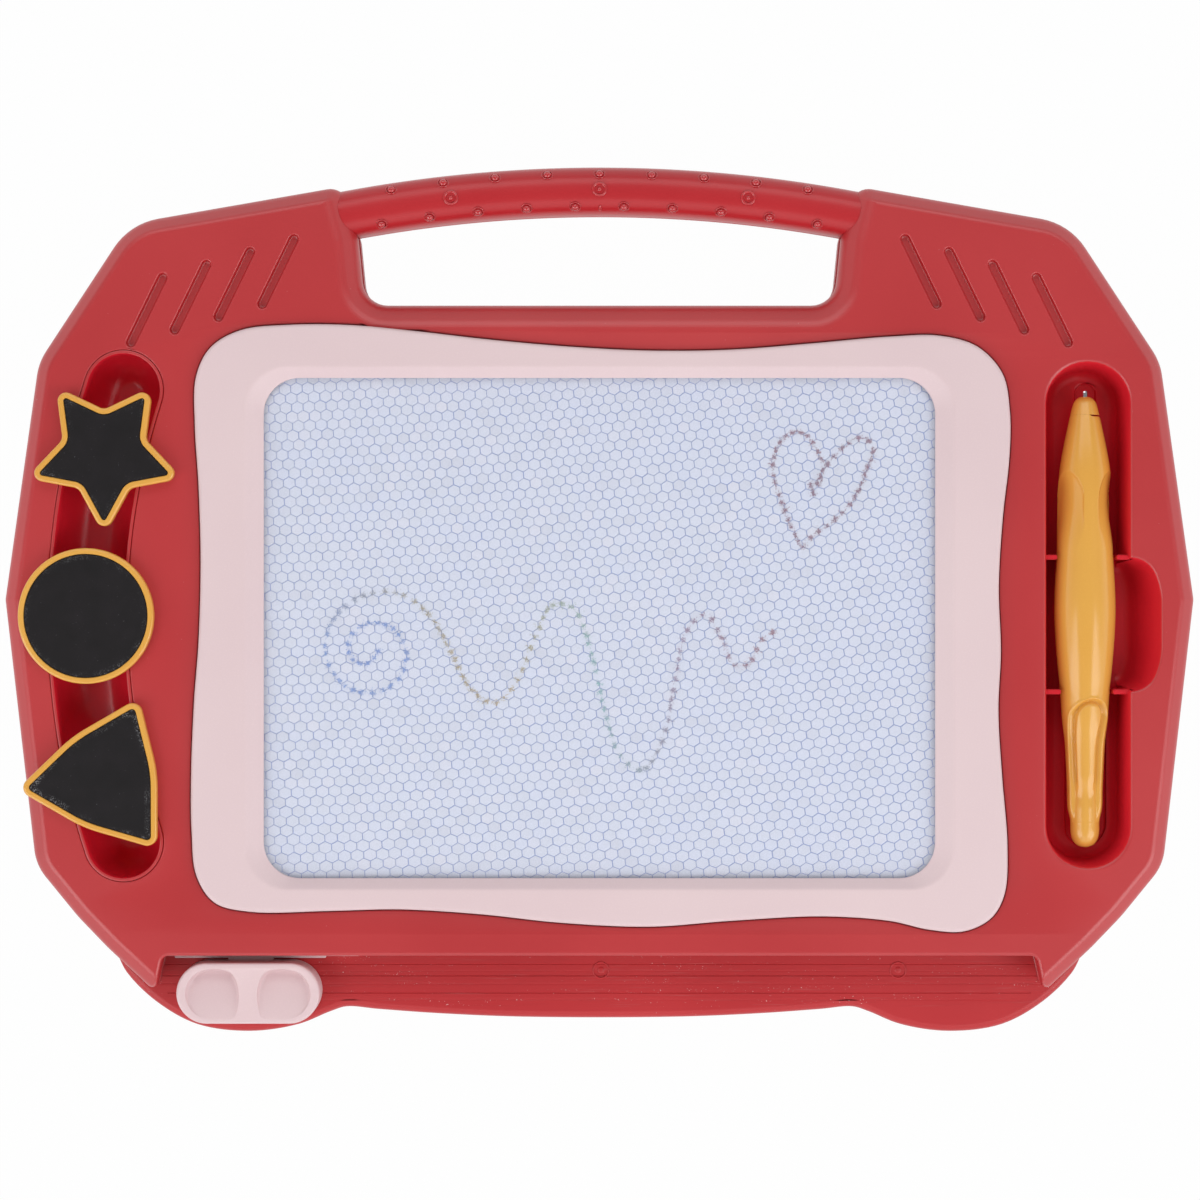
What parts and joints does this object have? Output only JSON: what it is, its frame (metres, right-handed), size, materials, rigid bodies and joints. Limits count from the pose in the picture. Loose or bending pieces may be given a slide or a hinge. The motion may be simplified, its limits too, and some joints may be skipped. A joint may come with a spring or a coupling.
{
  "type": "magnetic drawing board",
  "caption": "Child's magnetic drawing board with a framed honeycomb screen, a carry grip, a sliding eraser, a pen in its tray and magnetic shape stamps.",
  "frame": {"origin": "under the middle of the board, on the surface that its back lies on", "axes": "+X along the board's length to the right, +Y towards the carry grip, +Z out of the screen"},
  "size_m": [0.3902, 0.2856, 0.0283],
  "materials": {
    "shell_red": "fine matte moulded plastic",
    "tray_red": "glossy moulded plastic",
    "bezel_pink": "fine matte moulded plastic",
    "eraser_pink": "fine matte moulded plastic",
    "toy_yellow": "satin moulded plastic",
    "magnet_black": "matte magnetic sheet",
    "screen_white": "honeycomb cells of pale fluid with thin blue walls",
    "screen_film": "clear film",
    "backing_grey": "plain sheet",
    "foam_white": "soft foam",
    "screw_steel": "zinc plated",
    "tip_steel": "polished"
  },
  "bodies": {
    "housing": {"front_shell": "shell_red", "rear_cover": "shell_red", "handle_front_half": "shell_red", "handle_rear_half": "shell_red", "stamp_tray": "tray_red", "screen_bezel": "bezel_pink", "screen_clear_film": "screen_film", "screen_honeycomb": "screen_white", "screen_back_sheet": "backing_grey", "screen_foam_tape": "foam_white", "housing_screw_1": "screw_steel", "housing_screw_2": "screw_steel", "housing_screw_3": "screw_steel", "housing_screw_4": "screw_steel", "housing_screw_5": "screw_steel", "housing_screw_6": "screw_steel", "housing_screw_7": "screw_steel", "housing_screw_8": "screw_steel", "handle_screw_1": "screw_steel", "handle_screw_2": "screw_steel", "handle_screw_3": "screw_steel"},
    "eraser": {"eraser_knob": "eraser_pink", "eraser_carrier": "eraser_pink", "eraser_magnet": "magnet_black"},
    "pen": {"pen_barrel": "toy_yellow", "pen_nose": "toy_yellow", "pen_tip_magnet": "tip_steel"},
    "star_stamp": {"star_stamp_body": "toy_yellow", "star_stamp_magnet": "magnet_black"},
    "round_stamp": {"round_stamp_body": "toy_yellow", "round_stamp_magnet": "magnet_black"},
    "triangle_stamp": {"triangle_stamp_body": "toy_yellow", "triangle_stamp_magnet": "magnet_black"}
  },
  "joints": [
    {"name": "eraser_slide", "type": "slide", "parent": "housing", "child": "eraser", "axis": [1, 0, 0], "range_m": [0, 0.2304]},
    {"name": "pen_lift", "type": "slide", "parent": "housing", "child": "pen", "axis": [0, 0, 1], "range_m": [0, 0.05]},
    {"name": "star_stamp_lift", "type": "slide", "parent": "housing", "child": "star_stamp", "axis": [0, 0, 1], "range_m": [0, 0.03]},
    {"name": "round_stamp_lift", "type": "slide", "parent": "housing", "child": "round_stamp", "axis": [0, 0, 1], "range_m": [0, 0.03]},
    {"name": "triangle_stamp_lift", "type": "slide", "parent": "housing", "child": "triangle_stamp", "axis": [0, 0, 1], "range_m": [0, 0.03]}
  ]
}
